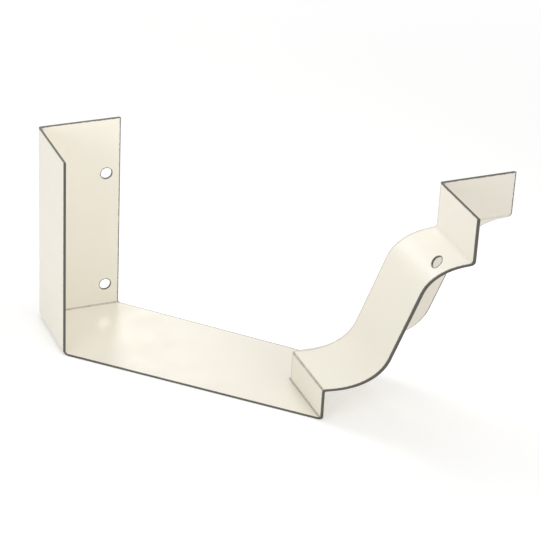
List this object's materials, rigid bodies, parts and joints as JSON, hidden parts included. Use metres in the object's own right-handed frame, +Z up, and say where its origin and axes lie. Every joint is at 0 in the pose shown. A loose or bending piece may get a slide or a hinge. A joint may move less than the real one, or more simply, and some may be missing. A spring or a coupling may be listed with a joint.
{
  "type": "gutter mitre strip",
  "caption": "One-piece folded sheet strip that covers the seam where two ogee rain gutters meet in an inside corner: V-shaped back, flat bottom, ogee front with an upright band.",
  "frame": {"origin": "centre of the plan box, on the underside of the flat bottom", "axes": "+Z up; the two legs run along +X and +Y away from the back corner, so the mitre plane is X = Y and the back corner is at -X -Y"},
  "size_m": [0.16, 0.16, 0.108],
  "materials": {
    "painted_sheet": "satin almond coil paint on aluminium sheet"
  },
  "bodies": {
    "root": {"mitre_strip": "painted_sheet"}
  },
  "joints": []
}
